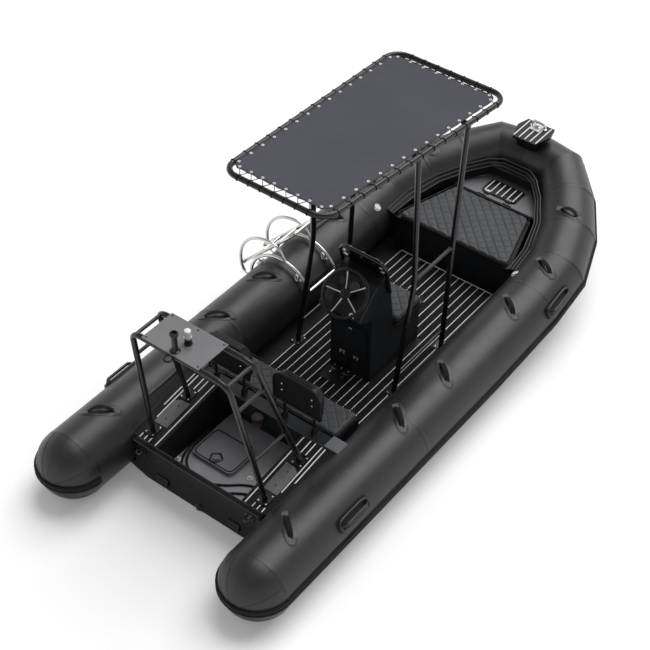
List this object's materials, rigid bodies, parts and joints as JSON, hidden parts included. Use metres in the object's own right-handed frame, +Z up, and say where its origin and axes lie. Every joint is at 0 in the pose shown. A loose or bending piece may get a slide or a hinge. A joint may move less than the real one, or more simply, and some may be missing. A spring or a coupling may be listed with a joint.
{
  "type": "inflatable rib boat",
  "caption": "Rigid inflatable boat with a V hull, black buoyancy tubes, steering console, fabric shade top, stern arch, lockers and a folding side ladder.",
  "frame": {"origin": "on the still waterline plane, at the centre line under the top of the transom", "axes": "+X forward to the bow, +Y to port, +Z up"},
  "size_m": [4.756, 2.1787, 2.2836],
  "materials": {
    "tube_fabric": "matte",
    "strake_rubber": "matte",
    "hull_paint": "satin",
    "deck_foam": "matte",
    "well_grey": "satin",
    "bow_grey": "satin",
    "box_black": "satin",
    "board_black": "matte",
    "cushion_grey": "satin",
    "pipe_black": "gloss",
    "shade_fabric": "matte",
    "smoked_screen": "gloss",
    "wheel_black": "satin",
    "light_white": "gloss",
    "post_black": "satin",
    "stainless": "polished",
    "valve_white": "gloss",
    "hose_black": "satin",
    "filter_black": "satin"
  },
  "bodies": {
    "boat": {"tube_port": "tube_fabric", "tube_starboard": "tube_fabric", "tube_shoulder_port": "tube_fabric", "tube_shoulder_starboard": "tube_fabric", "tube_nose": "tube_fabric", "strake_port": "strake_rubber", "strake_starboard": "strake_rubber", "strake_nose": "strake_rubber", "hull": "hull_paint", "transom": "hull_paint", "side_decks": "hull_paint", "cockpit_sole": "deck_foam", "well_tray": "well_grey", "bow_deck": "bow_grey", "bench_end_pads": "bow_grey", "arch_plate": "bow_grey", "aft_bench": "box_black", "console": "box_black", "console_seat_box": "box_black", "bow_locker": "box_black", "bow_coaming": "box_black", "bow_step": "box_black", "console_rail": "pipe_black", "top_frame": "pipe_black", "top_legs": "pipe_black", "stern_arch": "pipe_black", "shade_panel": "shade_fabric", "windscreen": "smoked_screen", "all_round_light": "light_white", "tow_post": "post_black", "grab_straps": "post_black", "lifting_handles": "post_black", "ladder_hoops": "stainless", "fairlead": "stainless", "tow_eyes": "stainless", "valves": "valve_white", "hose_inner": "hose_black", "hose_outer": "hose_black", "fuel_filter": "filter_black"},
    "steering_wheel": {"steering_wheel": "wheel_black"},
    "bench_seat_port": {"bench_lid_port": "board_black", "bench_cushion_port": "cushion_grey"},
    "bench_seat_starboard": {"bench_lid_starboard": "board_black", "bench_cushion_starboard": "cushion_grey"},
    "backrest_port": {"backrest_port": "board_black", "backrest_cushion_port": "cushion_grey"},
    "backrest_starboard": {"backrest_starboard": "board_black", "backrest_cushion_starboard": "cushion_grey"},
    "console_seat": {"console_seat_lid": "board_black", "console_cushion": "cushion_grey"},
    "bow_seat": {"bow_locker_lid": "board_black", "bow_cushion": "cushion_grey"},
    "bow_hatch": {"bow_hatch_lid": "deck_foam"},
    "well_hatch": {"well_hatch_lid": "well_grey"},
    "ladder": {"boarding_ladder": "stainless"},
    "console_door": {"console_door": "box_black"}
  },
  "joints": [
    {"name": "steering_turn", "type": "hinge", "parent": "boat", "child": "steering_wheel", "pos_m": [1.46752, -0.085, 0.89748], "axis": [-0.7071, 0, 0.7071], "range_deg": [-540, 540]},
    {"name": "bench_seat_port_lift", "type": "hinge", "parent": "boat", "child": "bench_seat_port", "pos_m": [0.756, 0.27, 0.425], "axis": [0, -1, 0], "range_deg": [0, 75]},
    {"name": "bench_seat_starboard_lift", "type": "hinge", "parent": "boat", "child": "bench_seat_starboard", "pos_m": [0.756, -0.27, 0.425], "axis": [0, -1, 0], "range_deg": [0, 75]},
    {"name": "backrest_port_fold", "type": "hinge", "parent": "boat", "child": "backrest_port", "pos_m": [0.7, 0.29, 0.457], "axis": [0, -1, 0], "range_deg": [-75, 0]},
    {"name": "backrest_starboard_fold", "type": "hinge", "parent": "boat", "child": "backrest_starboard", "pos_m": [0.7, -0.29, 0.457], "axis": [0, -1, 0], "range_deg": [-75, 0]},
    {"name": "console_seat_lift", "type": "hinge", "parent": "boat", "child": "console_seat", "pos_m": [1.809, -0.064, 0.51], "axis": [0, -1, 0], "range_deg": [0, 75]},
    {"name": "bow_seat_lift", "type": "hinge", "parent": "boat", "child": "bow_seat", "pos_m": [3.455, 0, 0.416], "axis": [0, 1, 0], "range_deg": [0, 80]},
    {"name": "bow_hatch_lift", "type": "hinge", "parent": "boat", "child": "bow_hatch", "pos_m": [3.495, 0, 0.412], "axis": [0, -1, 0], "range_deg": [0, 80]},
    {"name": "well_hatch_lift", "type": "hinge", "parent": "boat", "child": "well_hatch", "pos_m": [0.561, 0.12, 0.138], "axis": [0, 1, 0], "range_deg": [0, 85]},
    {"name": "console_door_drop", "type": "hinge", "parent": "boat", "child": "console_door", "pos_m": [1.544, -0.064, 0.25], "axis": [0, -1, 0], "range_deg": [0, 95]},
    {"name": "ladder_swing", "type": "hinge", "parent": "boat", "child": "ladder", "pos_m": [1.9725, 1.138, 0.28], "axis": [-1, 0, 0], "range_deg": [0, 220]}
  ]
}
